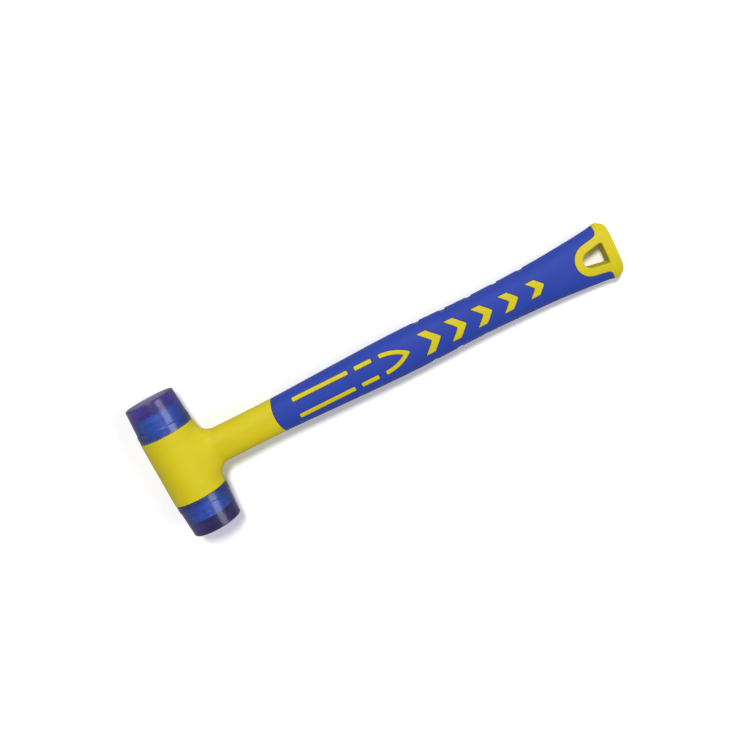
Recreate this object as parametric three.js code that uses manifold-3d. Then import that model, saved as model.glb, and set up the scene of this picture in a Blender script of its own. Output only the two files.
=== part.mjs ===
// A double-faced dead blow mallet with screw-on tips, lying on its side.
// Millimetres, +Z up. +X runs from the head to the butt of the handle, and the
// head's axis is along Y. Everything is first drawn about the point where the head
// axis meets the handle axis, and is then laid down so that the head and the butt
// both touch z = 0.
import * as THREE from 'three';
import { mergeVertices } from 'three/addons/utils/BufferGeometryUtils.js';
import Module from 'manifold-3d';

const wasm = await Module();
wasm.setup();

// ---- driving dimensions ----

// head
const HEAD_R = 19.3;            // moulded head
const HEAD_HALF = 24.1;         // half of its length along Y
const HEAD_EDGE = 0.5;          // chamfer of its two rims
const GAP = 0.3;                // clearance between pieces that touch
const TIP_END = 48.9;           // from the handle axis to a striking face
const FLANGE_R = 19.0;          // collar of a tip, next to the head
const FLANGE_LENGTH = 5.6;
const TIP_ROOT_R = 18.5;        // tip just past its collar
const TIP_FACE_R = 17.5;        // tip at its striking face, a 35 mm face
const TIP_EDGE = 0.9;           // rounding of the face

// canister and its threaded ends
const CANISTER_R = 13.2;
const SHOT_BORE_R = 8.0;
const STUD_END = 39.6;          // from the handle axis to the end of a threaded end
const THREAD_START = 25.6;
const THREAD_LEAD_IN = 1.6;     // from there to where a tip's own thread starts
const THREAD_RUN_IN = 0.5;      // from a tip's plain mouth down to its thread
const THREAD_PITCH = 4.0;
const THREAD_MEAN_R = 12.3;
const THREAD_SWING = 0.5;       // half the height of the thread
const THREAD_CLEARANCE = 0.42;
const SOCKET_BOTTOM = 40.3;
const PLUG_LENGTH = 5.6;
const SLOT_DEPTH = 1.4;         // coin slot in a plug
const SLOT_WIDTH = 2.0;

// seal ring between the head and a tip, in a recess of the tip
const SEAL_INNER_R = 13.3;
const SEAL_OUTER_R = 16.6;
const SEAL_THICKNESS = 1.6;

// steel shot
const SHOT_R = 3.5;
const SHOT_RING_R = 4.2;        // circle through the centres of three balls
const SHOT_LAYERS = 9;
const SHOT_STEP = 6.0;          // along Y, from one layer of three to the next

// handle
const BUTT_X = 323.5;           // from the head axis to the end of the handle
const NECK_HALF_WIDTH = 12.2;
const NECK_HALF_THICKNESS = 9.3;
const NECK_FILLET_R = 10.2;     // from the head to the neck, seen from above
const NECK_SIDE_FILLET_R = 8.0; // the same, seen from the side
const NECK_RING_XS = [16.5, 18.4, 19.4, 20.1, 21.5, 23.5, 26.0];
const SECTION_POWER = 2.3;      // 2 is an ellipse, higher is squarer
// rings of the butt: distance from its end, half width, half thickness
const BUTT_RINGS = [
  [4.6, 19.3, 8.0], [2.6, 17.9, 7.8], [1.6, 17.0, 7.3], [0.6, 15.8, 6.5], [0, 14.5, 5.6],
];
const SLEEVE_THICKNESS = 2.3;
const SLEEVE_FRONT_X = 73.6;    // at the sides of the handle
const SLEEVE_FRONT_BOW = 2.2;   // further forward in the middle
const ROD_R = 3.5;
const ROD_START_X = 14.2;
const ROD_END_X = 285.0;

// hanging hole, a rounded triangle, and the bare rim around it
const HOLE_NOSE_X = 305.3;
const HOLE_NOSE_R = 5.7;
const HOLE_SLOPE = THREE.MathUtils.degToRad(10);
const HOLE_END_X = 315.8;
const HOLE_CORNER_R = 1.6;
const RIM_WIDTH = 5.5;
const TONGUE_X = 311.9;         // centre of the round end of a sleeve tongue
const TONGUE_Y = 15.9;
const TONGUE_R = 2.9;

// pads of the core that show through the sleeve, on both flat sides
const BAR_Y = 6.15;
const BAR_HALF_WIDTH = 1.55;
const BARS = [[87.0, 128.8], [133.5, 146.5]];
const PAD_CORNER_R = 0.9;
const OGIVE_START_X = 151.7;
const OGIVE_TIP_X = 172.7;
const OGIVE_INNER_TIP_X = 167.3;
const CHEVRON_COUNT = 5;
const CHEVRON_FIRST_TIP_X = 195.5;
const CHEVRON_STEP = 18.9;
const CHEVRON_THICKNESS = 6.9;  // along X
const CHEVRON_FIRST_HALF = 8.05;
const CHEVRON_SHRINK = 0.6;     // in half height, from one to the next

// notches in the two edges of the sleeve, beside the chevrons
const NOTCH_FIRST_X = 186.3;    // its steep side
const NOTCH_STEP = 19.2;
const NOTCH_DEPTH = 1.1;
const NOTCH_FLAT = 2.6;         // length of its bottom
const NOTCH_RAMP = 2.6;         // length of its gentle side

// how finely round shapes are divided
const HEAD_SEGMENTS = 40;
const TIP_SEGMENTS = 32;
const RING_SEGMENTS = 24;
const THREAD_SEGMENTS = 20;
const THREAD_ROWS = 5;          // rows in one pitch
const SECTION_SIDES = 24;
const STATION_STEPS = 2;         // rings from one station of the handle to the next

const REACH = 60;               // longer than any cut across the handle

// The widest and thickest outline of the handle, as smooth curves through a few
// stations: distance from the head axis, half width, half thickness.
const STATIONS = [
  [NECK_FILLET_R + HEAD_R, NECK_HALF_WIDTH, NECK_HALF_THICKNESS],
  [72, NECK_HALF_WIDTH, NECK_HALF_THICKNESS],
  [118, 13.6, 9.4],
  [168, 14.75, 10.0],
  [225, 14.0, 10.0],
  [266, 15.0, 9.5],
  [296, 17.1, 8.6],
  [311, 18.6, 8.15],
  [317.0, 19.9, 8.0],
];

// ---- solids ----

function toSolid(geometry) {
  const bare = geometry.clone();
  bare.deleteAttribute('normal');
  bare.deleteAttribute('uv');
  const merged = mergeVertices(bare, 1e-4);
  const corners = merged.index.array;
  const triVerts = [];
  for (let i = 0; i < corners.length; i += 3) {
    const [a, b, c] = [corners[i], corners[i + 1], corners[i + 2]];
    if (a !== b && b !== c && c !== a) triVerts.push(a, b, c);
  }
  const mesh = new wasm.Mesh({
    numProp: 3,
    vertProperties: new Float32Array(merged.attributes.position.array),
    triVerts: new Uint32Array(triVerts),
  });
  return new wasm.Manifold(mesh);
}

function toGeometry(solid) {
  const mesh = solid.getMesh();
  const geometry = new THREE.BufferGeometry();
  geometry.setAttribute('position', new THREE.BufferAttribute(mesh.vertProperties, 3));
  geometry.setIndex(new THREE.BufferAttribute(mesh.triVerts, 1));
  geometry.computeVertexNormals();
  return geometry;
}

// A solid of revolution about Y from [radius, y] pairs.
function turned(pairs, segments) {
  const profile = pairs.map(([r, y]) => new THREE.Vector2(r, y));
  return new THREE.LatheGeometry(profile, segments);
}

// A flat outline in X and Y, extruded along Z right through the handle.
function throughCut(shape, curveSegments = 5) {
  const options = { depth: REACH, bevelEnabled: false, curveSegments };
  const geometry = new THREE.ExtrudeGeometry(shape, options);
  geometry.translate(0, 0, -REACH / 2);
  return toSolid(geometry);
}

function mirrored(points) {
  const back = points.map((p) => new THREE.Vector2(p.x, -p.y)).reverse();
  return [...points, ...back];
}

function arcPoints(centreX, centreY, radius, from, to, steps) {
  const points = [];
  for (let i = 0; i <= steps; i += 1) {
    const angle = from + (to - from) * (i / steps);
    const x = centreX + radius * Math.cos(angle);
    const y = centreY + radius * Math.sin(angle);
    points.push(new THREE.Vector2(x, y));
  }
  return points;
}

// ---- outline of the handle ----

const widthCurve = new THREE.SplineCurve(STATIONS.map(([x, w]) => new THREE.Vector2(x, w)));
const depthCurve = new THREE.SplineCurve(STATIONS.map(([x, , t]) => new THREE.Vector2(x, t)));

// The rings that the handle is skinned over: [x, half width, half thickness].
function handleRings() {
  const rings = [];
  // the fillets from the head down to the neck; the side one is tangent to the head
  const filletZ = NECK_HALF_THICKNESS + NECK_SIDE_FILLET_R;
  const filletX = Math.sqrt((HEAD_R + NECK_SIDE_FILLET_R) ** 2 - filletZ ** 2);
  const tangentX = (filletX * HEAD_R) / (HEAD_R + NECK_SIDE_FILLET_R);
  const neckX = HEAD_R + NECK_FILLET_R;
  for (const x of [tangentX, ...NECK_RING_XS]) {
    const across = Math.min(neckX - x, NECK_FILLET_R);
    const width = NECK_HALF_WIDTH + NECK_FILLET_R - Math.sqrt(NECK_FILLET_R ** 2 - across ** 2);
    const down = Math.max(filletX - x, 0);
    const thickness = filletZ - Math.sqrt(NECK_SIDE_FILLET_R ** 2 - down ** 2);
    rings.push([x, width, thickness]);
  }
  // neck, grip and flare
  const last = STATIONS.length - 1;
  const steps = last * STATION_STEPS;
  for (let i = 0; i <= steps; i += 1) {
    const along = widthCurve.getPoint(i / steps);
    rings.push([along.x, along.y, depthCurve.getPoint(i / steps).y]);
  }
  for (const [fromEnd, width, thickness] of BUTT_RINGS) {
    rings.push([BUTT_X - fromEnd, width, thickness]);
  }
  return rings;
}

// The handle as one solid, its surface moved inwards by inset.
function handleSolid(inset) {
  const rings = handleRings();
  const geometry = new THREE.CylinderGeometry(1, 1, 1, SECTION_SIDES, rings.length - 1);
  const position = geometry.attributes.position;
  const power = 2 / SECTION_POWER;
  for (let i = 0; i < position.count; i += 1) {
    const row = Math.round((0.5 - position.getY(i)) * (rings.length - 1));
    const [x, halfWidth, halfThickness] = rings[row];
    const across = -position.getZ(i);
    const up = position.getX(i);
    const y = Math.sign(across) * Math.abs(across) ** power * (halfWidth - inset);
    const z = Math.sign(up) * Math.abs(up) ** power * (halfThickness - inset);
    position.setXYZ(i, x, y, z);
  }
  return toSolid(geometry);
}

// ---- outlines seen from above; grow moves each one outwards ----

function roundedBar(x0, x1, y, grow) {
  const r = PAD_CORNER_R + grow;
  const half = BAR_HALF_WIDTH + grow;
  const quarter = Math.PI / 2;
  const [left, right] = [x0 - grow, x1 + grow];
  return new THREE.Shape([
    ...arcPoints(right - r, y - half + r, r, -quarter, 0, 2),
    ...arcPoints(right - r, y + half - r, r, 0, quarter, 2),
    ...arcPoints(left + r, y + half - r, r, quarter, 2 * quarter, 2),
    ...arcPoints(left + r, y - half + r, r, 2 * quarter, 3 * quarter, 2),
  ]);
}

// One side of the bullet outline: an arc that starts level and ends on the X axis.
function ogiveArc(startY, tipX, grow) {
  const run = tipX - OGIVE_START_X;
  const radius = (run ** 2 + startY ** 2) / (2 * startY) + grow;
  const centreY = startY + grow - radius;
  const endAngle = Math.asin(-centreY / radius);
  return arcPoints(OGIVE_START_X, centreY, radius, Math.PI / 2, endAngle, 6);
}

function ogive(grow) {
  const outer = ogiveArc(BAR_Y + BAR_HALF_WIDTH, OGIVE_TIP_X, grow);
  const inner = ogiveArc(BAR_Y - BAR_HALF_WIDTH, OGIVE_INNER_TIP_X, -grow);
  for (const line of [outer, inner]) line[0].x -= grow;
  const upper = outer.slice(0, -1);
  const lower = upper.map((p) => new THREE.Vector2(p.x, -p.y)).reverse();
  const innerLower = inner.map((p) => new THREE.Vector2(p.x, -p.y));
  const innerUpper = inner.slice(0, -1).reverse();
  return new THREE.Shape([...upper, outer.at(-1), ...lower, ...innerLower, ...innerUpper]);
}

function chevron(number, grow) {
  const tip = CHEVRON_FIRST_TIP_X + number * CHEVRON_STEP + grow * Math.SQRT2;
  const half = CHEVRON_FIRST_HALF - number * CHEVRON_SHRINK + grow;
  const thickness = CHEVRON_THICKNESS + 2 * grow * Math.SQRT2;
  return new THREE.Shape([
    new THREE.Vector2(tip, 0),
    new THREE.Vector2(tip - half, half),
    new THREE.Vector2(tip - half - thickness, half),
    new THREE.Vector2(tip - thickness, 0),
    new THREE.Vector2(tip - half - thickness, -half),
    new THREE.Vector2(tip - half, -half),
  ]);
}

function padShapes(grow) {
  const shapes = [ogive(grow)];
  for (const [x0, x1] of BARS) {
    for (const side of [-1, 1]) shapes.push(roundedBar(x0, x1, side * BAR_Y, grow));
  }
  for (let i = 0; i < CHEVRON_COUNT; i += 1) shapes.push(chevron(i, grow));
  return shapes;
}

function pads(grow) {
  return wasm.Manifold.union(padShapes(grow).map((shape) => throughCut(shape)));
}

// Upper side of the rounded triangle of the hole, from its nose, pushed out by offset.
function triangleSide(offset) {
  const radius = HOLE_NOSE_R + offset;
  const lean = Math.PI / 2 + HOLE_SLOPE;
  return arcPoints(HOLE_NOSE_X, 0, radius, Math.PI, lean, 6);
}

function triangleHalfWidth(x, offset) {
  return (HOLE_NOSE_R + offset) / Math.cos(HOLE_SLOPE) + (x - HOLE_NOSE_X) * Math.tan(HOLE_SLOPE);
}

function hangingHole() {
  const cornerX = HOLE_END_X - HOLE_CORNER_R;
  const cornerY = triangleHalfWidth(cornerX, 0) - HOLE_CORNER_R;
  const corner = arcPoints(cornerX, cornerY, HOLE_CORNER_R, Math.PI / 2, 0, 3);
  const upper = [...triangleSide(0).slice(1), ...corner];
  const nose = new THREE.Vector2(HOLE_NOSE_X - HOLE_NOSE_R, 0);
  return throughCut(new THREE.Shape([nose, ...mirrored(upper)]));
}

// The part of the handle that the sleeve covers.
function sleeveRegion(grow) {
  const front = [];
  for (const share of [0, 0.25, 0.5, 0.75]) {
    const bow = SLEEVE_FRONT_BOW * (1 - share ** 2);
    front.push(new THREE.Vector2(SLEEVE_FRONT_X - bow - grow, share * NECK_HALF_WIDTH));
  }
  const radius = TONGUE_R + grow;
  const quarter = Math.PI / 2;
  const tongue = arcPoints(TONGUE_X, TONGUE_Y, radius, -quarter, quarter / 2, 4);
  const upper = [
    ...front.slice(1),
    new THREE.Vector2(SLEEVE_FRONT_X - grow, REACH / 2),
    new THREE.Vector2(TONGUE_X + radius * Math.cos(quarter / 2), REACH / 2),
    ...tongue.reverse(),
    ...triangleSide(RIM_WIDTH - grow).reverse().slice(0, -1),
  ];
  const nose = new THREE.Vector2(HOLE_NOSE_X - HOLE_NOSE_R - RIM_WIDTH + grow, 0);
  return throughCut(new THREE.Shape([front[0], ...upper, nose, ...mirrored(upper).slice(upper.length)]));
}

// ---- pieces ----

function headSolid() {
  const rim = HEAD_R - HEAD_EDGE;
  const shoulder = HEAD_HALF - HEAD_EDGE;
  const profile = [[0, -HEAD_HALF], [rim, -HEAD_HALF], [HEAD_R, -shoulder]];
  profile.push([HEAD_R, shoulder], [rim, HEAD_HALF], [0, HEAD_HALF]);
  return toSolid(turned(profile, HEAD_SEGMENTS));
}

function cylinderAlongY(radius, halfLength, segments) {
  return toSolid(new THREE.CylinderGeometry(radius, radius, 2 * halfLength, segments));
}

function rodAlongX(radius, x0, x1) {
  const geometry = new THREE.CylinderGeometry(radius, radius, x1 - x0, 16);
  geometry.rotateZ(-Math.PI / 2);
  geometry.translate((x0 + x1) / 2, 0, 0);
  return geometry;
}

function bodyMoulding() {
  const pocket = sleeveRegion(GAP)
    .subtract(handleSolid(SLEEVE_THICKNESS + GAP))
    .subtract(pads(-GAP));
  return headSolid()
    .add(handleSolid(0).subtract(pocket))
    .subtract(cylinderAlongY(CANISTER_R + GAP, REACH, HEAD_SEGMENTS))
    .subtract(toSolid(rodAlongX(ROD_R + GAP, 0, ROD_END_X + GAP)))
    .subtract(hangingHole());
}

function notchCuts() {
  const cuts = [];
  for (let i = 0; i < CHEVRON_COUNT; i += 1) {
    const steepX = NOTCH_FIRST_X + i * NOTCH_STEP;
    const flatX = steepX - NOTCH_FLAT;
    const rampX = flatX - NOTCH_RAMP;
    const bottom = handleHalfWidth(steepX) - NOTCH_DEPTH;
    const outline = [
      [rampX, handleHalfWidth(rampX)], [flatX, bottom], [steepX, bottom],
      [steepX, REACH / 2], [rampX, REACH / 2],
    ];
    for (const side of [-1, 1]) {
      const points = outline.map(([x, y]) => new THREE.Vector2(x, side * y));
      cuts.push(throughCut(new THREE.Shape(points)));
    }
  }
  return wasm.Manifold.union(cuts);
}

function handleHalfWidth(x) {
  const rings = handleRings();
  const next = rings.findIndex((ring) => ring[0] > x);
  const [before, after] = [rings[next - 1], rings[next]];
  const share = (x - before[0]) / (after[0] - before[0]);
  return THREE.MathUtils.lerp(before[1], after[1], share);
}

function gripSleeve() {
  return handleSolid(0)
    .intersect(sleeveRegion(0))
    .subtract(handleSolid(SLEEVE_THICKNESS))
    .subtract(pads(0))
    .subtract(notchCuts());
}

// Rows of a thread along Y, and the radius of its wave at one angle and height.
function threadRows(from, to) {
  const count = Math.round(((to - from) / THREAD_PITCH) * THREAD_ROWS);
  return Array.from({ length: count + 1 }, (_, i) => from + ((to - from) * i) / count);
}

function threadWave(angle, y) {
  return THREAD_SWING * Math.cos(2 * Math.PI * (y / THREAD_PITCH) - angle);
}

// Gives every vertex of a turned piece that lies on the thread's mean radius its wave.
function cutThread(geometry, meanRadius) {
  const position = geometry.attributes.position;
  for (let i = 0; i < position.count; i += 1) {
    const [x, y, z] = [position.getX(i), position.getY(i), position.getZ(i)];
    if (Math.abs(Math.hypot(x, z) - meanRadius) < 1e-3) {
      const scale = (meanRadius + threadWave(Math.atan2(x, z), y)) / meanRadius;
      position.setXYZ(i, x * scale, y, z * scale);
    }
  }
  return geometry;
}

function canister() {
  const root = THREAD_MEAN_R - THREAD_SWING;
  const threadEnd = STUD_END - 1;
  const rows = threadRows(THREAD_START, threadEnd).map((y) => [THREAD_MEAN_R, y]);
  const half = [[CANISTER_R, HEAD_HALF], [root, HEAD_HALF + 1], ...rows];
  half.push([root, threadEnd + 0.5], [root, STUD_END], [SHOT_BORE_R, STUD_END]);
  const other = half.map(([r, y]) => [r, -y]).reverse();
  const profile = [...other, ...half, other[0]];
  return cutThread(turned(profile, THREAD_SEGMENTS), THREAD_MEAN_R);
}

function canisterPlug() {
  const r = SHOT_BORE_R - GAP;
  const start = STUD_END - PLUG_LENGTH;
  const profile = [[0, start], [r - 0.6, start], [r, start + 0.6]];
  profile.push([r, STUD_END - 0.3], [r - 0.3, STUD_END], [0, STUD_END]);
  const slot = new THREE.BoxGeometry(4 * r, 2 * SLOT_DEPTH, SLOT_WIDTH);
  slot.translate(0, STUD_END, 0);
  return toSolid(turned(profile, THREAD_SEGMENTS)).subtract(toSolid(slot));
}

function sealRing() {
  const [from, to] = [HEAD_HALF + GAP, HEAD_HALF + GAP + SEAL_THICKNESS];
  const bevel = 0.4;
  return turned([
    [SEAL_INNER_R, from + bevel], [SEAL_INNER_R + bevel, from],
    [SEAL_OUTER_R - bevel, from], [SEAL_OUTER_R, from + bevel],
    [SEAL_OUTER_R, to], [SEAL_INNER_R, to], [SEAL_INNER_R, from + bevel],
  ], RING_SEGMENTS);
}

function tip() {
  const start = HEAD_HALF + GAP;
  const collarEnd = start + FLANGE_LENGTH;
  const edge = arcPoints(TIP_FACE_R - TIP_EDGE, TIP_END - TIP_EDGE, TIP_EDGE, 0, Math.PI / 2, 4);
  const outside = turned([
    [0, start], [FLANGE_R - 0.4, start], [FLANGE_R, start + 0.4], [FLANGE_R, collarEnd - 0.5],
    [TIP_ROOT_R, collarEnd], ...edge.map((p) => [p.x, p.y]), [0, TIP_END],
  ], TIP_SEGMENTS);
  const recessEnd = start + SEAL_THICKNESS + GAP;
  const recess = turned([
    [0, start - 1], [SEAL_OUTER_R + GAP, start - 1], [SEAL_OUTER_R + GAP, recessEnd], [0, recessEnd],
  ], TIP_SEGMENTS);
  const mean = THREAD_MEAN_R + THREAD_CLEARANCE;
  const mouth = mean + THREAD_SWING;
  const threadStart = THREAD_START + THREAD_LEAD_IN;
  const rows = threadRows(threadStart, STUD_END).map((y) => [mean, y]);
  const socket = cutThread(turned([
    [0, start], [mouth, start], [mouth, threadStart - THREAD_RUN_IN], ...rows,
    [mouth, SOCKET_BOTTOM], [0, SOCKET_BOTTOM],
  ], THREAD_SEGMENTS), mean);
  return toSolid(outside).subtract(toSolid(recess)).subtract(toSolid(socket));
}

// ---- assembly ----

const COLOURS = {
  yellow: { color: 0xd6c628, roughness: 0.38, metalness: 0 },
  blueRubber: { color: 0x3044a6, roughness: 0.7, metalness: 0 },
  bluePlastic: { color: 0x2848a8, roughness: 0.35, metalness: 0 },
  purple: { color: 0x43357a, roughness: 0.15, metalness: 0 },
  black: { color: 0x1c1c20, roughness: 0.8, metalness: 0 },
  steel: { color: 0xb4b6ba, roughness: 0.3, metalness: 1 },
};

const mallet = new THREE.Group();

function addPiece(name, shape, finish) {
  const geometry = shape.isBufferGeometry ? shape : toGeometry(shape);
  const mesh = new THREE.Mesh(geometry, new THREE.MeshStandardMaterial(finish));
  mesh.name = name;
  mallet.add(mesh);
  return mesh;
}

addPiece('body_moulding', bodyMoulding(), COLOURS.yellow);
addPiece('grip_sleeve', gripSleeve(), COLOURS.blueRubber);
addPiece('handle_rod', rodAlongX(ROD_R, ROD_START_X, ROD_END_X), COLOURS.steel);
addPiece('shot_canister', canister(), COLOURS.bluePlastic);

// The two ends of the head are alike: the second is the first turned half round about Z.
for (const [side, turn] of [['left', 0], ['right', Math.PI]]) {
  addPiece(`tip_${side}`, tip(), COLOURS.purple).rotation.z = turn;
  addPiece(`seal_ring_${side}`, sealRing(), COLOURS.black).rotation.z = turn;
  addPiece(`canister_plug_${side}`, canisterPlug(), COLOURS.bluePlastic).rotation.z = turn;
}

// Three balls in each layer, turned by 60 degrees from layer to layer.
for (let layer = 0; layer < SHOT_LAYERS; layer += 1) {
  for (let ball = 0; ball < 3; ball += 1) {
    const angle = THREE.MathUtils.degToRad(120 * ball + 60 * (layer % 2));
    const number = String(3 * layer + ball + 1).padStart(2, '0');
    const shot = addPiece(`shot_${number}`, new THREE.SphereGeometry(SHOT_R, 8, 6), COLOURS.steel);
    const y = (layer - (SHOT_LAYERS - 1) / 2) * SHOT_STEP;
    shot.position.set(SHOT_RING_R * Math.cos(angle), y, SHOT_RING_R * Math.sin(angle));
  }
}

// Laid on its side, the head and the butt both touch the surface.
const BUTT_HALF_THICKNESS = STATIONS.at(-1)[2];
const LEAN = Math.asin((HEAD_R - BUTT_HALF_THICKNESS) / STATIONS.at(-1)[0]);
mallet.rotation.y = LEAN;
mallet.position.set(-(BUTT_X - HEAD_R) / 2, 0, HEAD_R);

export default mallet;
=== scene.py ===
"""Looks of a dead blow mallet with screw-on tips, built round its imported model.

Shapes are made in millimetres in the mallet's own frame: the origin is where the
head's axis meets the handle's axis, +X runs to the butt, Y is the head's axis and Z
is up. to_row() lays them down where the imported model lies, in metres.
"""
import math

import bmesh
import bpy
import numpy as np
from mathutils import Matrix, Vector


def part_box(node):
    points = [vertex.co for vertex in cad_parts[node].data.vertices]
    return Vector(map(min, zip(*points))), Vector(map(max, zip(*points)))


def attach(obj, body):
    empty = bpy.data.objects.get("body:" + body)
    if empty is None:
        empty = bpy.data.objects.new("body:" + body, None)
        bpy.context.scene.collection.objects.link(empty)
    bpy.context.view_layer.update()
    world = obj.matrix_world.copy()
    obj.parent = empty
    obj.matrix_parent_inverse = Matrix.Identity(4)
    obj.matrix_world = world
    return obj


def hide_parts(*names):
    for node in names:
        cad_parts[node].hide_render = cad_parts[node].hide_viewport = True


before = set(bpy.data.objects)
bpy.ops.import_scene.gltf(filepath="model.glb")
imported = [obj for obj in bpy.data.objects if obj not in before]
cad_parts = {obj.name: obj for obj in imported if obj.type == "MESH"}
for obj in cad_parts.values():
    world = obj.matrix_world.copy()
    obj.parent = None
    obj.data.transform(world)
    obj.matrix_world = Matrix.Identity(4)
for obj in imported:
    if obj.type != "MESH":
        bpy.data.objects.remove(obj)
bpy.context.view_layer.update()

# ---- dimensions, the same as the CAD's ----

HEAD_R = 19.3
HEAD_HALF = 24.1
HEAD_EDGE_R = 0.35
GAP = 0.3
TIP_END = 48.9
FLANGE_R = 19.0
FLANGE_LENGTH = 5.6
TIP_ROOT_R = 18.5
TIP_FACE_R = 17.5
TIP_EDGE = 0.9

CANISTER_R = 13.2
SHOT_BORE_R = 8.0
STUD_END = 39.6
THREAD_START = 25.6
THREAD_PITCH = 4.0
THREAD_MEAN_R = 12.3
THREAD_SWING = 0.3
PLUG_LENGTH = 5.6
SLOT_DEPTH = 1.4
SLOT_WIDTH = 2.0

SEAL_INNER_R = 13.3
SEAL_OUTER_R = 16.6
SEAL_THICKNESS = 1.6

BUTT_X = 323.5
NECK_HALF_WIDTH = 12.2
NECK_HALF_THICKNESS = 9.3
NECK_FILLET_R = 10.2
NECK_SIDE_FILLET_R = 8.0
SECTION_POWER = 2.3
SLEEVE_THICKNESS = 2.3
SLEEVE_FRONT_X = 73.6
SLEEVE_FRONT_BOW = 2.2
ROD_R = 3.5
ROD_START_X = 14.2
ROD_END_X = 285.0
BUTT_SIDE_R = 1.7
BUTT_FACE_R = 2.4

HOLE_NOSE_X = 305.3
HOLE_NOSE_R = 5.7
HOLE_SLOPE = math.radians(10)
HOLE_END_X = 315.8
HOLE_CORNER_R = 1.6
RIM_WIDTH = 5.5
TONGUE_END_X = 314.8
TONGUE_R = 2.9

BAR_Y = 6.15
BAR_HALF_WIDTH = 1.55
BARS = ((87.0, 128.8), (133.5, 146.5))
PAD_CORNER_R = 0.9
OGIVE_START_X = 151.7
OGIVE_TIP_X = 172.7
OGIVE_INNER_TIP_X = 167.3
CHEVRON_COUNT = 5
CHEVRON_FIRST_TIP_X = 195.5
CHEVRON_STEP = 18.9
CHEVRON_THICKNESS = 6.9
CHEVRON_FIRST_HALF = 8.05
CHEVRON_SHRINK = 0.6

OGIVE_TIP_R = 0.35
CHEVRON_TIP_R = 0.5
CHEVRON_CORNER_R = 0.4

NOTCH_FIRST_X = 186.3
NOTCH_STEP = 19.2
NOTCH_DEPTH = 1.1
NOTCH_FLAT = 2.6
NOTCH_RAMP = 2.6
NOTCH_CORNER_R = 0.15
NOTCH_EDGE_R = 0.2

SHOT_COUNT = 27

# distance from the head axis, half width, half thickness
STATIONS = (
    (NECK_FILLET_R + HEAD_R, NECK_HALF_WIDTH, NECK_HALF_THICKNESS),
    (72, NECK_HALF_WIDTH, NECK_HALF_THICKNESS),
    (118, 13.6, 9.4),
    (168, 14.75, 10.0),
    (225, 14.0, 10.0),
    (266, 15.0, 9.5),
    (296, 17.1, 8.6),
    (311, 18.6, 8.15),
    (317, 19.9, 8.0),
    (320.5, 18.3, 8.0),
    (323.5, 16.2, 8.0),
)
REST_X, _, REST_HALF_THICKNESS = STATIONS[-3]

# ---- where the mallet lies ----

LEAN = math.asin((HEAD_R - REST_HALF_THICKNESS) / REST_X)
canister_low, canister_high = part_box("shot_canister")
LAID = (
    Matrix.Translation((canister_low + canister_high) / 2)
    @ Matrix.Rotation(LEAN, 4, "Y")
    @ Matrix.Scale(0.001, 4)
)


def to_row(points):
    """Points in the mallet's frame, in millimetres, as points in the row frame."""
    laid = np.array(LAID)
    return points @ laid[:3, :3].T + laid[:3, 3]


# ---- distance functions: negative inside, millimetres ----

FAR = 1e3
TINY = 1e-9  # keeps a division by a length finite
LEAST_SHARE = 1e-3  # keeps the handle's section finite on its axis
SPLINE_STEPS = 24


def both(a, b, r=0.0):
    """What lies in both shapes, its new edge rounded to radius r."""
    u = np.maximum(r + a, 0)
    v = np.maximum(r + b, 0)
    return np.minimum(-r, np.maximum(a, b)) + np.hypot(u, v)


def either(a, b, r=0.0):
    """What lies in either shape, with a fillet of radius r between them."""
    return -both(-a, -b, r)


def spline_table(column):
    """A smooth curve through one column of STATIONS, as (xs, values)."""
    knots = np.array([(s[0], s[column]) for s in STATIONS], float)
    ends = np.vstack([knots[:1], knots, knots[-1:]])
    share = np.linspace(0, 1, SPLINE_STEPS + 1)[:-1, None]
    pieces = []
    for p0, p1, p2, p3 in zip(ends, ends[1:], ends[2:], ends[3:]):
        a = (p2 - p0) / 2
        b = (p3 - p1) / 2
        cubic = (2 * p1 - 2 * p2 + a + b) * share**3
        square = (-3 * p1 + 3 * p2 - 2 * a - b) * share**2
        pieces.append(cubic + square + a * share + p1)
    table = np.vstack([*pieces, knots[-1:]])
    return table[:, 0], table[:, 1]


WIDTH_TABLE = spline_table(1)
DEPTH_TABLE = spline_table(2)


def half_width(x):
    """Half the handle's width at x."""
    return np.interp(x, *WIDTH_TABLE)


def handle(x, y, z, inset=0.0):
    """The handle's loft, without its end, and how much each point lies to a side."""
    width = half_width(x) - inset
    depth = np.interp(x, *DEPTH_TABLE) - inset
    a = np.maximum(np.abs(y) / width, LEAST_SHARE)
    b = np.maximum(np.abs(z) / depth, LEAST_SHARE)
    ap = a ** (SECTION_POWER - 1)
    bp = b ** (SECTION_POWER - 1)
    total = ap * a + bp * b
    level = total ** (1 / SECTION_POWER)
    slope = np.hypot(ap / width, bp / depth) * level ** (1 - SECTION_POWER)
    return (level - 1) / np.maximum(slope, LEAST_SHARE), ap * a / total


def whole_handle(x, y, z, inset=0.0):
    """The handle with its rounded butt."""
    loft, side = handle(x, y, z, inset)
    r = BUTT_FACE_R + (BUTT_SIDE_R - BUTT_FACE_R) * side
    return both(loft, x - BUTT_X + inset, r)


def soft_abs(y, r):
    """|y| with its corner rounded."""
    return np.sqrt(y * y + r * r)


def bar(x, y, x0, x1):
    """A pair of straight pads, one on each side of the handle's middle."""
    r = PAD_CORNER_R
    dx = np.abs(x - (x0 + x1) / 2) - (x1 - x0) / 2 + r
    dy = np.abs(np.abs(y) - BAR_Y) - BAR_HALF_WIDTH + r
    outside = np.hypot(np.maximum(dx, 0), np.maximum(dy, 0))
    return outside + np.minimum(np.maximum(dx, dy), 0) - r


def ogive_circle(x, y, start_y, tip_x):
    """Distance outside the circle that starts level at start_y and ends at tip_x."""
    run = tip_x - OGIVE_START_X
    radius = (run**2 + start_y**2) / (2 * start_y)
    return np.hypot(x - OGIVE_START_X, y - start_y + radius) - radius


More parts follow.
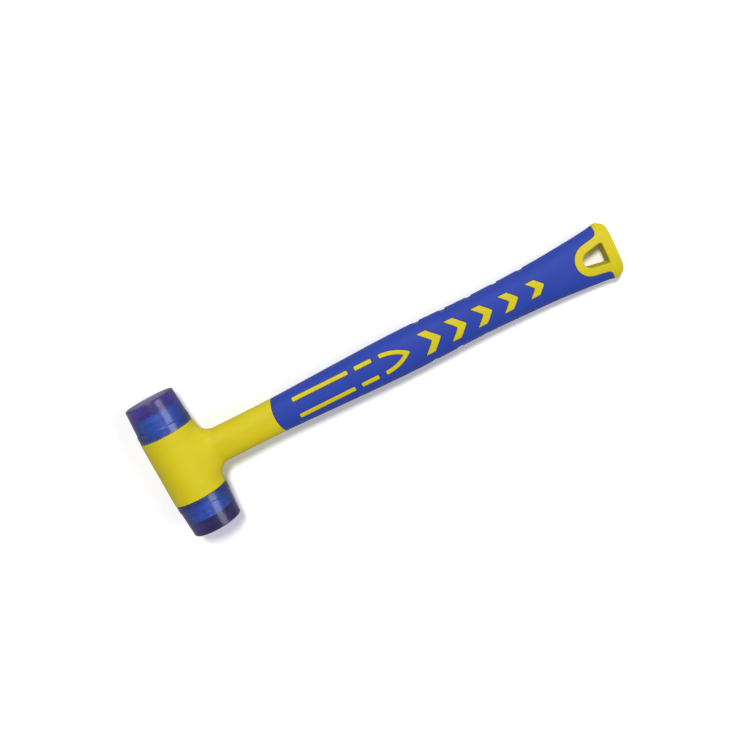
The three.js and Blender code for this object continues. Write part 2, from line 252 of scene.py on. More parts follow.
def ogive(x, y):
    """The pad shaped as the outline of a bullet."""
    across = soft_abs(y, OGIVE_TIP_R)
    outer = ogive_circle(x, across, BAR_Y + BAR_HALF_WIDTH, OGIVE_TIP_X)
    inner = ogive_circle(x, across, BAR_Y - BAR_HALF_WIDTH, OGIVE_INNER_TIP_X)
    return both(np.maximum(outer, -inner), OGIVE_START_X - x, PAD_CORNER_R)


def chevron(x, y, number):
    """One of the arrows that get smaller towards the butt."""
    tip = CHEVRON_FIRST_TIP_X + number * CHEVRON_STEP
    half = CHEVRON_FIRST_HALF - number * CHEVRON_SHRINK
    along = (x + soft_abs(y, CHEVRON_TIP_R) - tip) / math.sqrt(2)
    behind = -along - CHEVRON_THICKNESS / math.sqrt(2)
    return both(np.maximum(along, behind), np.abs(y) - half, CHEVRON_CORNER_R)


def pads(x, y):
    """The pads of the core that show through the sleeve, seen from above."""
    made = ogive(x, y)
    for x0, x1 in BARS:
        made = np.minimum(made, bar(x, y, x0, x1))
    for number in range(CHEVRON_COUNT):
        made = np.minimum(made, chevron(x, y, number))
    return made


def hole_sides(x, y):
    """The rounded nose and the two sides of the hanging hole, without its end."""
    dx = x - HOLE_NOSE_X
    across = np.abs(y)
    along = dx * math.cos(HOLE_SLOPE) + across * math.sin(HOLE_SLOPE)
    off = across * math.cos(HOLE_SLOPE) - dx * math.sin(HOLE_SLOPE)
    return np.where(along < 0, np.hypot(dx, across), off) - HOLE_NOSE_R


def sleeve_outline(x, y):
    """The part of the handle that the sleeve covers, seen from above."""
    bow = SLEEVE_FRONT_BOW * (1 - np.minimum(np.abs(y) / NECK_HALF_WIDTH, 1) ** 2)
    front = SLEEVE_FRONT_X - bow - x
    tongues = both(RIM_WIDTH - hole_sides(x, y), x - TONGUE_END_X, TONGUE_R)
    return np.maximum(front, tongues)


def notches(x, y):
    """Shallow notches in the two edges of the sleeve, steep on the side of the butt."""
    made = np.full_like(x, FAR)
    for i in range(CHEVRON_COUNT):
        steep = NOTCH_FIRST_X + i * NOTCH_STEP
        bottom = half_width(steep) - NOTCH_DEPTH
        below = bottom - np.abs(y)
        gentle = np.arctan2(NOTCH_DEPTH, NOTCH_RAMP)
        ramp = (steep - NOTCH_FLAT - x) * np.sin(gentle) + below * np.cos(gentle)
        cut = both(np.maximum(below, ramp), x - steep, NOTCH_CORNER_R)
        made = np.minimum(made, cut)
    return made


# ---- the two moulded pieces ----

SEAM_GAP = 0.08  # half the groove between the core and the sleeve
HOLE_DRAFT = math.tan(math.radians(4))
HOLE_EDGE_R = 0.9
CORE_EDGE_R = 0.3
SLEEVE_EDGE_R = 0.35
SLEEVE_CORNER_R = 0.1


def core(x, y, z):
    """Head, neck, core of the grip, its pads and the butt, in one moulding."""
    head = both(np.hypot(x, z) - HEAD_R, np.abs(y) - HEAD_HALF, HEAD_EDGE_R)
    loft, side = handle(x, y, z)
    fillet = NECK_SIDE_FILLET_R + (NECK_FILLET_R - NECK_SIDE_FILLET_R) * side
    covered = np.maximum(sleeve_outline(x, y) - SEAM_GAP, -pads(x, y) - SEAM_GAP)
    inner = handle(x, y, z, SLEEVE_THICKNESS + SEAM_GAP)[0]
    stem = both(whole_handle(x, y, z), -both(covered, -inner), CORE_EDGE_R)
    stem = np.maximum(stem, -x)
    made = either(head, stem, fillet)
    made = both(made, CANISTER_R + GAP - np.hypot(x, z), CORE_EDGE_R)
    rod = np.maximum(np.hypot(y, z) - ROD_R - GAP, x - ROD_END_X - GAP)
    made = np.maximum(made, -np.maximum(rod, -x))
    hole = both(hole_sides(x, y), x - HOLE_END_X, HOLE_CORNER_R)
    hole = hole - HOLE_DRAFT * np.abs(z) + HOLE_DRAFT * NECK_HALF_THICKNESS
    return both(made, -hole, HOLE_EDGE_R)


def sleeve(x, y, z):
    """Rubber over the grip, with windows for the pads."""
    covered = sleeve_outline(x, y) + SEAM_GAP
    outline = both(covered, SEAM_GAP - pads(x, y), SLEEVE_CORNER_R)
    skin = both(whole_handle(x, y, z), -notches(x, y), NOTCH_EDGE_R)
    inner = handle(x, y, z, SLEEVE_THICKNESS - SEAM_GAP)[0]
    return np.maximum(both(skin, outline, SLEEVE_EDGE_R), -inner)


# ---- meshes from distance functions ----

GRADIENT_REACH = 0.02
COARSE_BLOCK = 4  # fine grid steps in a coarse one
NEAR_BLOCKS = 1.6  # how far from the surface the fine grid is worked out
OUTSIDE = 9.0  # stands for any distance beyond that
CHUNK = 400_000
MARGIN_STEPS = 8
PULL_TO_MIDDLE = 0.08
SNAPS = 2  # how often a vertex is moved onto the surface


def slopes(shape, p, f):
    """Gradient of shape at points p, where it is already known to be f."""
    parts = []
    for axis in range(3):
        q = p.copy()
        q[:, axis] += GRADIENT_REACH
        parts.append((shape(*q.T) - f) / GRADIENT_REACH)
    made = np.stack(parts, 1)
    return made / np.maximum(np.linalg.norm(made, axis=1), TINY)[:, None]


def sample(shape, axes, step):
    """shape on a grid of one quarter, y >= 0 and z >= 0, worked out near its surface."""
    coarse = [a[::COARSE_BLOCK] for a in axes]
    rough = shape(*np.meshgrid(*coarse, indexing="ij"))
    # each point of the fine grid goes by the nearest point of the coarse one
    nearest = []
    for fine, few in zip(axes, coarse):
        number = np.rint(np.arange(len(fine)) / COARSE_BLOCK).astype(int)
        nearest.append(np.minimum(number, len(few) - 1))
    rough = rough[np.ix_(*nearest)]
    near = np.abs(rough) < NEAR_BLOCKS * COARSE_BLOCK * step
    field = np.where(rough > 0, OUTSIDE, -OUTSIDE)
    where = np.nonzero(near)
    values = np.empty(len(where[0]))
    for start in range(0, len(values), CHUNK):
        part = [w[start : start + CHUNK] for w in where]
        points = [a[w] for a, w in zip(axes, part)]
        values[start : start + CHUNK] = shape(*points)
    field[where] = values
    return field


def contour(shape, reach_x, reach_y, reach_z, step):
    """Vertices, quads and normals of shape, which is the same on both sides of y = 0
    and z = 0. One vertex for each cell of a grid that the surface crosses."""
    margin = MARGIN_STEPS * step
    xs = np.arange(reach_x[0], reach_x[1] + margin, step)
    ys = np.arange(0, reach_y + margin, step)
    zs = np.arange(0, reach_z + margin, step)
    quarter = sample(shape, (xs, ys, zs), step)
    half = np.concatenate([quarter[:, :0:-1], quarter], 1)
    field = np.concatenate([half[:, :, :0:-1], half], 2)
    low = np.array([xs[0], -ys[-1], -zs[-1]])
    size = np.array(field.shape)
    cells = size - 1
    points, numbers, quads = [], [], []
    around = ((0, 0), (-1, 0), (-1, -1), (0, -1))
    for axis in range(3):
        one = [slice(None)] * 3
        two = [slice(None)] * 3
        one[axis], two[axis] = slice(None, -1), slice(1, None)
        a, b = field[tuple(one)], field[tuple(two)]
        at = np.stack(np.nonzero((a < 0) != (b < 0)), 1)
        fa = a[tuple(at.T)]
        fb = b[tuple(at.T)]
        p = at.astype(float)
        p[:, axis] += fa / (fa - fb)
        points.append(low + p * step)
        ring = []
        for da, db in around:
            cell = at.copy()
            cell[:, (axis + 1) % 3] += da
            cell[:, (axis + 2) % 3] += db
            ring.append(np.ravel_multi_index(cell.T, cells))
        ring = np.stack(ring, 1)
        numbers.append(ring)
        quads.append(np.where((fa < 0)[:, None], ring, ring[:, ::-1]))
    points = np.vstack(points)
    ring = np.vstack(numbers)
    normals = slopes(shape, points, shape(*points.T))
    used, index = np.unique(ring.ravel(), return_inverse=True)
    index = index.reshape(-1)
    count = len(used)

    def summed(values):
        return np.bincount(index, np.repeat(values, 4), count)

    share = summed(np.ones(len(points)))
    middle = np.stack([summed(c) for c in points.T], 1) / share[:, None]
    # the point nearest to the planes through the crossings, kept close to their middle
    matrix = np.zeros((count, 3, 3))
    for i in range(3):
        for j in range(i, 3):
            matrix[:, i, j] = matrix[:, j, i] = summed(normals[:, i] * normals[:, j])
    offset = (normals * points).sum(1)
    right = np.stack([summed(normals[:, i] * offset) for i in range(3)], 1)
    right -= np.einsum("nij,nj->ni", matrix, middle)
    matrix += PULL_TO_MIDDLE * np.eye(3)
    move = np.linalg.solve(matrix, right[:, :, None])[:, :, 0]
    corner = low + np.stack(np.unravel_index(used, cells), 1) * step
    vertices = np.clip(middle + move, corner, corner + step)
    for _ in range(SNAPS):
        f = shape(*vertices.T)
        normals = slopes(shape, vertices, f)
        vertices = vertices - np.clip(f, -step / 2, step / 2)[:, None] * normals
    lookup = np.searchsorted(used, np.vstack(quads))
    return vertices, lookup, normals


# ---- Blender objects ----

HIDDEN_WEIGHT = 10  # how strongly thinning keeps to the hidden part


def new_mesh(name, points, faces, normals=None):
    """A smooth mesh from points and faces in the mallet's frame, with its own normals."""
    mesh = bpy.data.meshes.new(name)
    mesh.from_pydata(to_row(points).tolist(), [], [tuple(f) for f in faces])
    mesh.update()
    mesh.shade_smooth()
    if normals is not None:
        turned_normals = normals @ np.array(LAID.to_3x3().normalized()).T
        mesh.normals_split_custom_set_from_vertices(turned_normals.tolist())
    return mesh


def show(name, mesh, material, body, node):
    """Shows a mesh for a CAD node, on its body."""
    piece = bpy.data.objects.new(name, mesh)
    bpy.context.scene.collection.objects.link(piece)
    if not mesh.materials:
        mesh.materials.append(material)
    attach(piece, body)
    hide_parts(node)
    return piece


def thinned(points, faces, hidden, ratio):
    """The same surface with larger faces where no one can look."""
    mesh = bpy.data.meshes.new("thinned")
    mesh.from_pydata(points.tolist(), [], faces.tolist())
    piece = bpy.data.objects.new("thinned", mesh)
    bpy.context.scene.collection.objects.link(piece)
    group = piece.vertex_groups.new(name="hidden")
    group.add(np.nonzero(hidden)[0].tolist(), 1.0, "REPLACE")
    modifier = piece.modifiers.new("thin", "DECIMATE")
    modifier.ratio = ratio
    modifier.vertex_group = group.name
    modifier.vertex_group_factor = HIDDEN_WEIGHT
    graph = bpy.context.evaluated_depsgraph_get()
    made = bpy.data.meshes.new_from_object(piece.evaluated_get(graph))
    coordinates = np.empty(3 * len(made.vertices))
    made.vertices.foreach_get("co", coordinates)
    polygons = [tuple(p.vertices) for p in made.polygons]
    bpy.data.objects.remove(piece)
    bpy.data.meshes.remove(mesh)
    bpy.data.meshes.remove(made)
    return coordinates.reshape(-1, 3), polygons


def moulded(name, shape, reach, hidden, ratio):
    """The mesh of a distance function."""
    points, faces, _ = contour(shape, *reach)
    points, faces = thinned(points, faces, hidden(points), ratio)
    normals = slopes(shape, points, shape(*points.T))
    return new_mesh(name, points, faces, normals)


# ---- turned pieces: outlines are (radius, distance along Y) ----


def rounded(corners, closed=False, steps=4):
    """An outline with rounded corners, from (radius, along, rounding) corners."""
    made = []
    count = len(corners)
    for i, (r, y, rounding) in enumerate(corners):
        here = np.array((r, y), float)
        if rounding == 0 or (not closed and i in (0, count - 1)):
            made.append(here)
            continue
        before = np.array(corners[i - 1][:2]) - here
        after = np.array(corners[(i + 1) % count][:2]) - here
        before = before / np.linalg.norm(before)
        after = after / np.linalg.norm(after)
        bend = math.acos(np.clip(before @ after, -1, 1))
        start = rounding / math.tan(bend / 2)
        middle = (before + after) / np.linalg.norm(before + after)
        centre = here + middle * rounding / math.sin(bend / 2)
        a = here + before * start - centre
        b = here + after * start - centre
        sweep = math.pi - bend
        for step in range(steps + 1):
            share = step / steps
            near = math.sin((1 - share) * sweep) * a + math.sin(share * sweep) * b
            made.append(centre + near / math.sin(sweep))
    return np.array(made)


def turned(outline, segments, closed=False, wave=None):
    """Points, faces and normals of an outline turned about Y. wave(angle, r, y) gives
    what is added to the radius. Open outlines start and end on the axis."""
    angle = np.linspace(0, 2 * math.pi, segments, endpoint=False)
    radius = np.repeat(outline[:, :1], segments, 1)
    along = np.repeat(outline[:, 1:], segments, 1)
    if wave is not None:
        radius = radius + wave(angle[None], radius, along)
    grid = np.stack([radius * np.sin(angle), along, radius * np.cos(angle)], 2)
    if closed:
        down = np.roll(grid, -1, 0) - np.roll(grid, 1, 0)
    else:
        down = np.gradient(grid, axis=0)
        down[1:-1] *= 2
    across = np.roll(grid, -1, 1) - np.roll(grid, 1, 1)
    normals = np.cross(across, down)
    inside_out = (grid * normals).sum() < 0
    length = np.linalg.norm(normals, axis=2, keepdims=True)
    normals = normals / np.maximum(length, TINY)
    rows = len(outline)
    number = np.arange(rows * segments).reshape(rows, segments)
    right = np.roll(number, -1, 1)
    first = 0 if closed else 1
    last = rows if closed else rows - 2
    faces = []
    for i in range(first, last):
        j = (i + 1) % rows
        faces += np.stack([number[i], number[j], right[j], right[i]], 1).tolist()
    points = grid.reshape(-1, 3)
    normals = normals.reshape(-1, 3) * (-1 if inside_out else 1)
    if closed:
        if not inside_out:
            faces = [face[::-1] for face in faces]
        return points, faces, normals
    # the two ends are single points on the axis
    start, end = 0, (rows - 1) * segments
    for a, b in zip(number[1], right[1]):
        faces.append([start, a, b])
    for a, b in zip(number[-2], right[-2]):
        faces.append([a, end, b])
    keep = np.ones(len(points), bool)
    keep[1:segments] = False
    keep[end + 1 :] = False
    renumber = np.cumsum(keep) - 1
    turn = 1 if inside_out else -1
    faces = [[int(renumber[v]) for v in face[::turn]] for face in faces]
    for pole, side in ((start, 1), (end, -2)):
        normals[pole] = (0, np.sign(normals[number[side], 1].sum()), 0)
    return points[keep], faces, normals[keep]


def half_round(points, faces, normals):
    """A turned piece turned half round about Z, to the other end of the head."""
    back = np.array((-1, -1, 1))
    return points * back, faces, normals * back


THREAD_FADE = 1.2
THREAD_STEP = 0.2
ON_THREAD = 1e-6  # a point this near the mean radius is on the thread
CONTACT = 0.04  # how far the clear plastic of a tip closes over its stud and seal


def thread(angle, y):
    """How far a thread stands out from its mean radius."""
    return THREAD_SWING * np.cos(2 * math.pi * y / THREAD_PITCH - angle)


def between(y, low, high):
    """1 from low to high, fading to 0 over THREAD_FADE outside."""
    inside = np.minimum(y - low, high - y) / THREAD_FADE + 1
    return np.clip(inside, 0, 1)


def stud_wave(angle, r, y):
    """What the canister's thread adds to its radius."""
    on_thread = np.abs(r - THREAD_MEAN_R) < ON_THREAD
    share = between(np.abs(y), THREAD_START, STUD_END)
    raised = share * (thread(angle, y) + THREAD_SWING) - THREAD_SWING
    return np.where(on_thread, raised, 0)


def thread_outline(low, high, r):
    """The straight stretch of an outline that a thread is made on."""
    count = round((high - low) / THREAD_STEP)
    return [(r, low + (high - low) * i / count, 0) for i in range(count + 1)]


def canister_shape():
    root = THREAD_MEAN_R - THREAD_SWING
    edge_r = 0.15
    shoulder = HEAD_HALF - 0.2
    run_in = 0.8
    chamfer = 0.4
    half = [
        (CANISTER_R, shoulder, edge_r),
        (root, HEAD_HALF + run_in, edge_r),
        *thread_outline(THREAD_START - run_in, STUD_END - chamfer, THREAD_MEAN_R),
        (root, STUD_END - chamfer / 2, 0),
        (root - chamfer, STUD_END, edge_r),
        (SHOT_BORE_R, STUD_END, edge_r),
    ]
    other = [(r, -y, rounding) for r, y, rounding in reversed(half)]
    outline = rounded([*half, *other], closed=True)
    return turned(outline[::-1], segments=96, closed=True, wave=stud_wave)


def tip_wave(angle, r, y):
    """What the thread inside a tip adds to its radius."""
    on_thread = np.abs(r - THREAD_MEAN_R + CONTACT) < ON_THREAD
    return np.where(on_thread, thread(angle, y), 0)


def tip_shape():
    start = HEAD_HALF + GAP
    collar_end = start + FLANGE_LENGTH
    recess = start + SEAL_THICKNESS - CONTACT
    recess_r = SEAL_OUTER_R - CONTACT
    bottom = STUD_END - CONTACT
    mean = THREAD_MEAN_R - CONTACT
    crisp_r = 0.2
    soft_r = 0.35
    step_foot_r = 0.5
    relief = 0.3
    flat_bottom_r = mean - 2.5
    flat_face_r = TIP_FACE_R - TIP_EDGE - 0.4
    inside = [
        (0, bottom, 0),
        (flat_bottom_r, bottom, 0),
        *reversed(thread_outline(recess + relief, bottom - relief, mean)),
        (mean + THREAD_SWING, recess, crisp_r),
        (recess_r, recess, soft_r),
        (recess_r, start, crisp_r),
    ]
    outside = [
        (FLANGE_R, start, crisp_r),
        (FLANGE_R, collar_end - relief, soft_r),
        (TIP_ROOT_R, collar_end + relief, step_foot_r),
        (TIP_FACE_R, TIP_END, TIP_EDGE),
        (flat_face_r, TIP_END, 0),
        (0, TIP_END, 0),
    ]
    outline = rounded([*inside, *outside], steps=6)
    return turned(outline, segments=128, wave=tip_wave)


def seal_shape():
    start = HEAD_HALF + GAP
    end = start + SEAL_THICKNESS
    middle = (SEAL_INNER_R + SEAL_OUTER_R) / 2
    edge_r = 0.35
    groove_half = 0.5
    groove_depth = 0.35
    groove_r = 0.2
    outline = rounded(
        [
            (SEAL_INNER_R, end, edge_r),
            (SEAL_OUTER_R, end, edge_r),
            (SEAL_OUTER_R, start, edge_r),
            (middle + groove_half, start, groove_r),
            (middle, start + groove_depth, groove_r),
            (middle - groove_half, start, groove_r),
            (SEAL_INNER_R, start, edge_r),
        ],
        closed=True,
    )
    return turned(outline[::-1], segments=96, closed=True)


def rod_shape():
    end_r = ROD_R - 0.8
    taper = 1.2
    tip_r = 0.2
    side_r = 0.3
    outline = rounded(
        [
            (0, ROD_START_X, 0),
            (end_r, ROD_START_X, tip_r),
            (ROD_R, ROD_START_X + taper, side_r),
            (ROD_R, ROD_END_X - taper, side_r),
            (end_r, ROD_END_X, tip_r),
            (0, ROD_END_X, 0),
        ]
    )
    points, faces, normals = turned(outline, segments=32)
    # from along Y to along X
    swap = [1, 0, 2]
    return points[:, swap], [f[::-1] for f in faces], normals[:, swap]


PLUG_EDGE_R = 0.4
SLOT_BOTTOM_R = 0.2
SLOT_EDGE_R = 0.25
PLUG_REACH = ((33.0, 41.0), 8.5, 8.5, 0.25)


def plug(x, y, z):
    """A canister plug with its coin slot, its axis along x."""
    r = SHOT_BORE_R - GAP
    middle = STUD_END - PLUG_LENGTH / 2
    made = both(np.hypot(y, z) - r, np.abs(x - middle) - PLUG_LENGTH / 2, PLUG_EDGE_R)
    slot = both(STUD_END - SLOT_DEPTH - x, np.abs(z) - SLOT_WIDTH / 2, SLOT_BOTTOM_R)
    return both(made, -slot, SLOT_EDGE_R)


def plug_shape():
    points, faces, normals = contour(plug, *PLUG_REACH)
    # from along X to along Y
    swap = [1, 0, 2]
    return points[:, swap], faces[:, ::-1], normals[:, swap]


SHOT_LUMPS = 0.008  # share of the radius


def shot_mesh():
    """A cast steel ball, very slightly out of round."""
    mesh = bpy.data.meshes.new("shot")
    ball = bmesh.new()
    low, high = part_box("shot_01")
    bmesh.ops.create_icosphere(ball, subdivisions=3, radius=(high.z - low.z) / 2)
    for v in ball.verts:
        n = v.co.normalized()
        lump = math.sin(5 * n.x + 1) * math.sin(6 * n.y + 2) * math.sin(4 * n.z)
        v.co *= 1 - SHOT_LUMPS * (1 + lump)
    ball.to_mesh(mesh)
    ball.free()
    mesh.shade_smooth()
    return mesh


# ---- materials ----


class Nodes:
    """A material under construction, round one Principled shader."""

    def __init__(self, name):
        self.material = bpy.data.materials.new(name)
        self.material.use_nodes = True
        self.tree = self.material.node_tree
        self.shader = self.tree.nodes["Principled BSDF"]
        self.output = self.tree.nodes["Material Output"]
        self.place = self.add("ShaderNodeTexCoord").outputs["Object"]

    def add(self, kind, **settings):
        node = self.tree.nodes.new(kind)
        for key, value in settings.items():
            setattr(node, key, value)
        return node

    def link(self, a, b):
        self.tree.links.new(a, b)

    def set(self, **values):
        for key, value in values.items():
            self.shader.inputs[key.replace("_", " ")].default_value = value

    def noise(self, scale, detail=2.0, stretch=(1, 1, 1)):
        """Noise with its scale in features for each metre."""
        mapping = self.add("ShaderNodeMapping")
        mapping.inputs["Scale"].default_value = stretch
        self.link(self.place, mapping.inputs["Vector"])
        node = self.add("ShaderNodeTexNoise")
        node.inputs["Scale"].default_value = scale
        node.inputs["Detail"].default_value = detail
        self.link(mapping.outputs["Vector"], node.inputs["Vector"])
        return node.outputs["Fac"]

    def ramp(self, factor, low, high, start=0.3, end=0.7):
        """A number from low to high as factor goes from start to end."""
        node = self.add("ShaderNodeMapRange")
        node.inputs["From Min"].default_value = start
        node.inputs["From Max"].default_value = end
        node.inputs["To Min"].default_value = low
        node.inputs["To Max"].default_value = high
        self.link(factor, node.inputs["Value"])
        return node.outputs["Result"]

    def mix(self, factor, a, b):
        """A colour between a and b, each a colour or a socket."""
        node = self.add("ShaderNodeMix", data_type="RGBA")
        sockets = [i for i in node.inputs if i.enabled]
        self.link(factor, sockets[0])
        for value, socket in ((a, sockets[1]), (b, sockets[2])):
            if isinstance(value, tuple):
                socket.default_value = value
            else:
                self.link(value, socket)
        return next(o for o in node.outputs if o.enabled)

    def bump(self, height, distance, strength=1.0, below=None):
        """A bump of so many metres, on top of another one."""
        node = self.add("ShaderNodeBump")
        node.inputs["Strength"].default_value = strength
        node.inputs["Distance"].default_value = distance
        self.link(height, node.inputs["Height"])
        if below is not None:
            self.link(below, node.inputs["Normal"])
        return node.outputs["Normal"]


def srgb(red, green, blue):
    """A colour from its usual 0 to 255 numbers, for a shader."""

    def linear(value):
        share = value / 255
        return share / 12.92 if share <= 0.04045 else ((share + 0.055) / 1.055) ** 2.4

    return (linear(red), linear(green), linear(blue), 1.0)


def moulded_plastic(name, colour, shade, roughness, flow_scale=45):
    """Opaque moulded plastic with a faint spark-eroded grain."""
    n = Nodes(name)
    n.set(Specular_IOR_Level=0.28, IOR=1.49)
    flow = n.noise(flow_scale, detail=3, stretch=(1, 2.5, 1))
    n.link(n.mix(n.ramp(flow, 0, 1), colour, shade), n.shader.inputs["Base Color"])
    patch = n.noise(140, detail=4)
    rough = n.ramp(patch, roughness - 0.04, roughness + 0.05)
    n.link(rough, n.shader.inputs["Roughness"])
    fine = n.bump(n.noise(2600), distance=0.00002)
    waves = n.bump(flow, distance=0.00008, strength=0.6, below=fine)
    n.link(waves, n.shader.inputs["Normal"])
    return n.material


def grip_rubber(name, colour, shade):
    """Matt rubber with a fine texture and slightly paler rubbed spots."""
    n = Nodes(name)
    n.set(Specular_IOR_Level=0.22, IOR=1.5, Sheen_Weight=0.05, Sheen_Roughness=0.45)
    cloud = n.noise(70, detail=4)
    n.link(n.mix(n.ramp(cloud, 0, 1), colour, shade), n.shader.inputs["Base Color"])
    fine = n.noise(3200, detail=3)
    n.link(n.ramp(fine, 0.56, 0.7), n.shader.inputs["Roughness"])
    grain = n.bump(fine, distance=0.00006)
    waves = n.bump(cloud, distance=0.0001, strength=0.5, below=grain)
    n.link(waves, n.shader.inputs["Normal"])
    return n.material


CLEAR_IOR = 1.47
SATIN = (0.28, 0.33)
FACE_EXTRA_ROUGHNESS = 0.3
FACE_FROM_Y = 0.0486
FACE_TO_Y = 0.0488
SHADOW_SHARE = 0.5


def clear_plastic(name, tint, absorbed, density):
    """Tinted see-through plastic, darker the more of it is looked through."""
    n = Nodes(name)
    n.set(Base_Color=tint, Transmission_Weight=1.0, IOR=CLEAR_IOR)
    # a crisp gloss over a satin surface
    n.set(Coat_Weight=0.45, Coat_Roughness=0.05, Coat_IOR=CLEAR_IOR)
    wave = n.noise(90)
    # satin all over, and worn matt on the left striking face
    along = n.add("ShaderNodeSeparateXYZ")
    n.link(n.place, along.inputs["Vector"])
    face = n.ramp(along.outputs["Y"], 0, 1, FACE_FROM_Y, FACE_TO_Y)
    rough = n.add("ShaderNodeMath", operation="MULTIPLY_ADD")
    n.link(face, rough.inputs[0])
    rough.inputs[1].default_value = FACE_EXTRA_ROUGHNESS
    n.link(n.ramp(wave, *SATIN), rough.inputs[2])
    n.link(rough.outputs["Value"], n.shader.inputs["Roughness"])
    n.link(n.bump(wave, distance=0.00006, strength=0.5), n.shader.inputs["Normal"])
    # a shadow ray goes straight through and loses a share, so nothing is focused
    path = n.add("ShaderNodeLightPath")
    through = n.add("ShaderNodeBsdfTransparent")
    through.inputs["Color"].default_value = (SHADOW_SHARE, SHADOW_SHARE, SHADOW_SHARE, 1)
    either_way = n.add("ShaderNodeMixShader")
    n.link(path.outputs["Is Shadow Ray"], either_way.inputs["Fac"])
    n.link(n.shader.outputs["BSDF"], either_way.inputs[1])
    n.link(through.outputs["BSDF"], either_way.inputs[2])
    n.link(either_way.outputs["Shader"], n.output.inputs["Surface"])
    volume = n.add("ShaderNodeVolumeAbsorption")
    volume.inputs["Color"].default_value = absorbed
    volume.inputs["Density"].default_value = density
    n.link(volume.outputs["Volume"], n.output.inputs["Volume"])
    return n.material


def steel(name, colour, roughness):
    """Drawn or cast steel with fine scratches."""
    n = Nodes(name)
    n.set(Metallic=1.0)
    streak = n.noise(1500, detail=3, stretch=(1, 0.15, 1))
    darker = tuple(0.75 * c for c in colour[:3]) + (1.0,)
    n.link(n.mix(n.ramp(streak, 0, 1), colour, darker), n.shader.inputs["Base Color"])
    rough = n.ramp(streak, roughness, roughness + 0.15)
    n.link(rough, n.shader.inputs["Roughness"])
    n.link(n.bump(streak, distance=0.00002), n.shader.inputs["Normal"])
    return n.material


YELLOW = moulded_plastic(
    "yellow_plastic",
    colour=(0.525, 0.437, 0.0028, 1),
    shade=(0.495, 0.411, 0.0024, 1),
    roughness=0.58,
)
BLUE_PLASTIC = moulded_plastic(
    "blue_plastic",
    colour=(0.029, 0.225, 0.64, 1),
    shade=(0.018, 0.125, 0.43, 1),
    roughness=0.3,
    flow_scale=420,
)
SEAL_BLUE = moulded_plastic(
    "seal_blue",
    colour=(0.015, 0.08, 0.3, 1),
    shade=(0.012, 0.07, 0.27, 1),
    roughness=0.5,
)
BLUE_RUBBER = grip_rubber(
    "blue_rubber",
    colour=(0.0155, 0.0405, 0.30, 1),
    shade=(0.0135, 0.037, 0.28, 1),
)
PURPLE = clear_plastic(
    "purple_plastic",
    tint=(1, 1, 1, 1),
    absorbed=(0.2, 0.045, 0.6, 1),
    density=90.0,
)
ROD_STEEL = steel("rod_steel", srgb(190, 192, 196), 0.3)
SHOT_STEEL = steel("shot_steel", srgb(170, 172, 176), 0.35)

# ---- the pieces ----

CORE_SKIN = 0.9  # how deep the fine mesh goes, below what can be seen
SLEEVE_SKIN = 1.6
HOLE_SKIN = 2.5
THIN_RATIO = 0.45


def core_hidden(points):
    """Marks the points of the core that the sleeve, the rod or the canister covers."""
    x, y, z = points.T
    head = both(np.hypot(x, z) - HEAD_R, np.abs(y) - HEAD_HALF)
    deep = np.minimum(whole_handle(x, y, z), head) < -CORE_SKIN
    hole = np.abs(hole_sides(x, y)) < HOLE_SKIN
    end = np.abs(x - HOLE_END_X) < HOLE_SKIN
    return deep & ~hole & ~end


def sleeve_hidden(points):
    """Marks the points inside the sleeve."""
    x, y, z = points.T
    return (whole_handle(x, y, z) < -SLEEVE_SKIN) & (x > SLEEVE_FRONT_X + 1)


# lowest and highest x, highest y, highest z, and the grid's step
CORE_REACH = ((-21.0, 325.0), 25.5, 20.5, 0.5)
SLEEVE_REACH = ((68.0, 317.0), 20.5, 12.0, 0.5)
ROOT = "handle_and_head"

core_mesh = moulded("body_moulding", core, CORE_REACH, core_hidden, THIN_RATIO)
show("body", core_mesh, YELLOW, ROOT, "body_moulding")
sleeve_mesh = moulded("grip_sleeve", sleeve, SLEEVE_REACH, sleeve_hidden, THIN_RATIO)
show("grip", sleeve_mesh, BLUE_RUBBER, ROOT, "grip_sleeve")
rod = new_mesh("handle_rod", *rod_shape())
show("rod", rod, ROD_STEEL, ROOT, "handle_rod")
canister = new_mesh("shot_canister", *canister_shape())
show("canister", canister, BLUE_PLASTIC, ROOT, "shot_canister")

for side, place in (("left", lambda *shape: shape), ("right", half_round)):
    tip = new_mesh(f"tip_{side}_mesh", *place(*tip_shape()))
    show(f"clear_tip_{side}", tip, PURPLE, f"tip_{side}", f"tip_{side}")
    seal = new_mesh(f"seal_{side}_mesh", *place(*seal_shape()))
    name = f"seal_ring_{side}"
    show(f"seal_{side}", seal, SEAL_BLUE, f"seal_{side}", name)
    stopper = new_mesh(f"plug_{side}_mesh", *place(*plug_shape()))
    name = f"canister_plug_{side}"
    show(f"plug_{side}", stopper, BLUE_PLASTIC, ROOT, name)

ball_mesh = shot_mesh()
for number in range(1, SHOT_COUNT + 1):
    node = f"shot_{number:02d}"
    low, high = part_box(node)
    ball = show(f"ball_{number:02d}", ball_mesh, SHOT_STEEL, "shot_charge", node)
    ball.location = (low + high) / 2

# ---- floor, light and camera ----

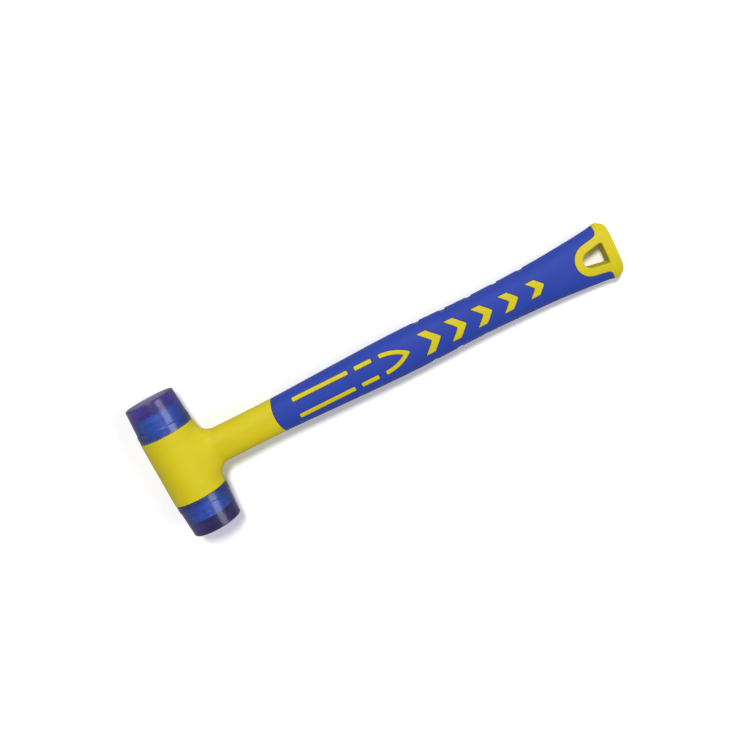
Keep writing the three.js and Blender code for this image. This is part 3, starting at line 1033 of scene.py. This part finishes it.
FLOOR_SIZE = 6.0
floor_mesh = bpy.data.meshes.new("floor")
half = FLOOR_SIZE / 2
corners = [(-half, -half, 0), (half, -half, 0), (half, half, 0), (-half, half, 0)]
floor_mesh.from_pydata(corners, [], [(0, 1, 2, 3)])
floor = bpy.data.objects.new("floor", floor_mesh)
bpy.context.scene.collection.objects.link(floor)
paper = Nodes("paper")
paper.set(Specular_IOR_Level=0.0, Roughness=1.0)
paper_tint = paper.mix(paper.noise(3), (0.92, 0.92, 0.92, 1), (0.94, 0.94, 0.94, 1))
paper.link(paper_tint, paper.shader.inputs["Base Color"])
floor_mesh.materials.append(paper.material)
# the floor isn't seen in reflections, so the clear tips keep their dark edges
floor.visible_glossy = False

world = bpy.data.worlds.new("studio")
bpy.context.scene.world = world
world.use_nodes = True
background = world.node_tree.nodes["Background"]
background.inputs["Color"].default_value = (0.98, 0.99, 1.0, 1)
background.inputs["Strength"].default_value = 0.34


def softbox(name, at, target, size, power):
    """A rectangular light of size metres and power watts."""
    light = bpy.data.lights.new(name, "AREA")
    light.shape = "RECTANGLE"
    light.size, light.size_y = size
    light.energy = power
    lamp = bpy.data.objects.new(name, light)
    lamp.location = at
    lamp.rotation_euler = (Vector(target) - Vector(at)).to_track_quat("-Z", "Y").to_euler()
    bpy.context.scene.collection.objects.link(lamp)
    return lamp


# the main light, high up on the side of the left tip
softbox("key", at=(0.28, 1.20, 2.50), target=(0.0, 0.0, 0.0), size=(0.52, 0.52), power=64.0)
# a box beyond the butt, which shows as the pale stripe on the clear tips
softbox(
    "side",
    at=(1.63, -0.37, 1.58),
    target=(-0.15, -0.03, 0.02),
    size=(1.24, 1.20),
    power=18.4,
)
# a dim card beyond the head, which adds only gloss
card = softbox(
    "card",
    at=(-1.05, -0.2, 0.6),
    target=(-0.15, -0.2, 0.6),
    size=(0.9, 1.2),
    power=0.3,
)
card.visible_diffuse = False

CAMERA_AT = Vector((0.06514, 0.12286, 0.70044))
CAMERA_LOOK = Vector((-0.10488, -0.18275, -0.97755))
CAMERA_UP = Vector((0.44007, 0.87296, -0.21042))
camera_data = bpy.data.cameras.new("camera")
camera_data.lens = 50
camera_data.sensor_width = 36
camera = bpy.data.objects.new("camera", camera_data)
bpy.context.scene.collection.objects.link(camera)
back = -CAMERA_LOOK.normalized()
right = CAMERA_UP.cross(back).normalized()
up = back.cross(right)
turn = Matrix((right, up, back)).transposed().to_4x4()
camera.matrix_world = Matrix.Translation(CAMERA_AT) @ turn
bpy.context.scene.camera = camera
bpy.context.scene.view_settings.view_transform = "Standard"
